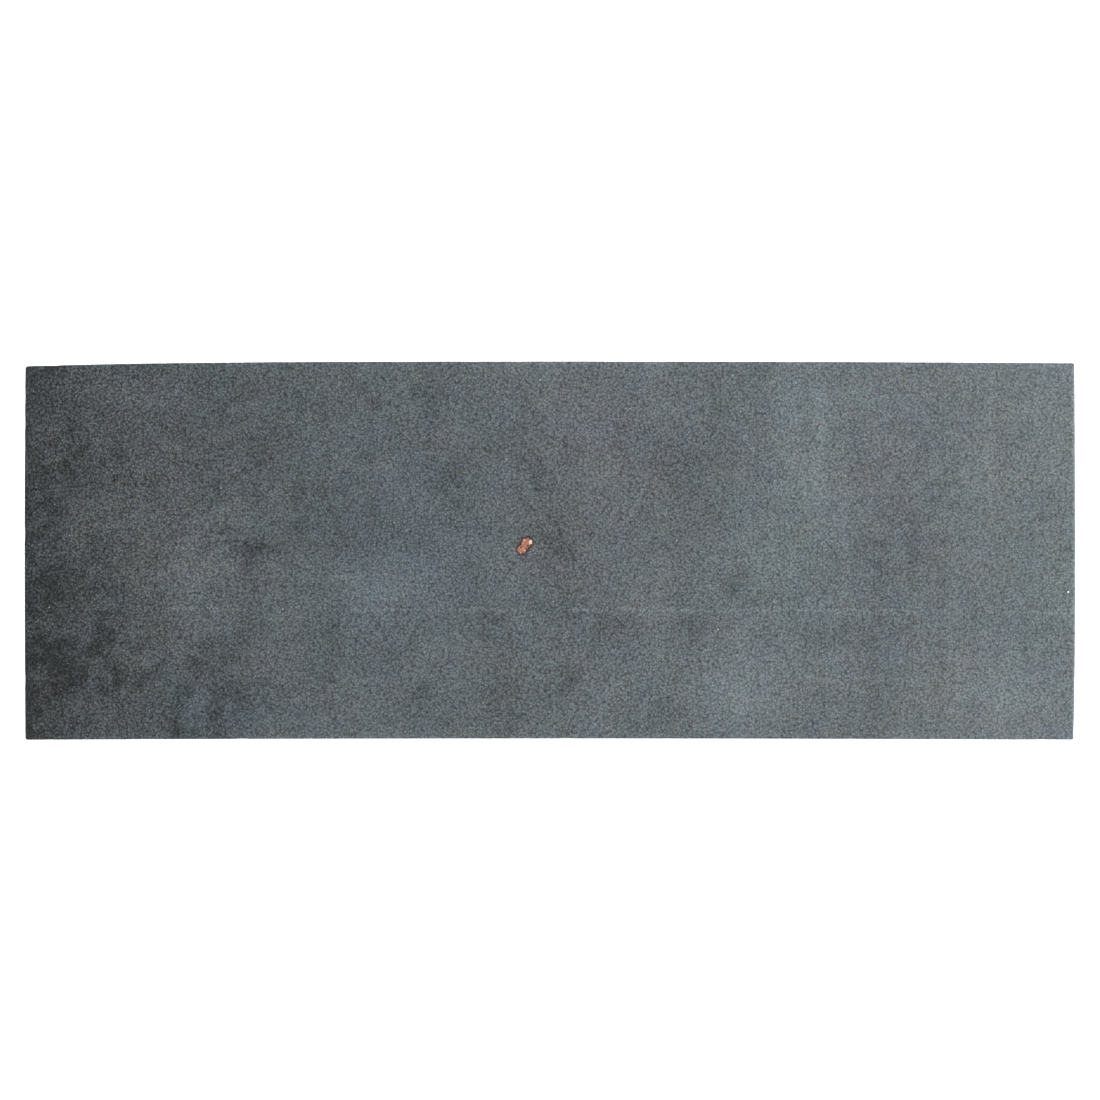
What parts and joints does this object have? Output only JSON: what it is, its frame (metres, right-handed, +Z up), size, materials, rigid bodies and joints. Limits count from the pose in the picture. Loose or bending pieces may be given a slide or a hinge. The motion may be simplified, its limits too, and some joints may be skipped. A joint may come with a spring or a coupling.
{
  "type": "granite slab",
  "caption": "Long, thick stone slab with a flat honed top and eased edges, on small rubber feet: a hard base for tooling, skiving and punching leather.",
  "frame": {"origin": "under the middle of the slab, on the plane that the feet stand on", "axes": "+X along the slab's length to its right end, -Y to its front, +Z up through the work surface"},
  "size_m": [0.3556, 0.1282, 0.0364],
  "materials": {
    "granite": "satin",
    "feldspar": "satin",
    "rubber": "matte",
    "adhesive_foam": "matte"
  },
  "bodies": {
    "root": {"stone_slab": "granite", "feldspar_inclusion": "feldspar", "foot_front_left": "rubber", "foot_front_right": "rubber", "foot_back_left": "rubber", "foot_back_right": "rubber", "adhesive_front_left": "adhesive_foam", "adhesive_front_right": "adhesive_foam", "adhesive_back_left": "adhesive_foam", "adhesive_back_right": "adhesive_foam"}
  },
  "joints": []
}
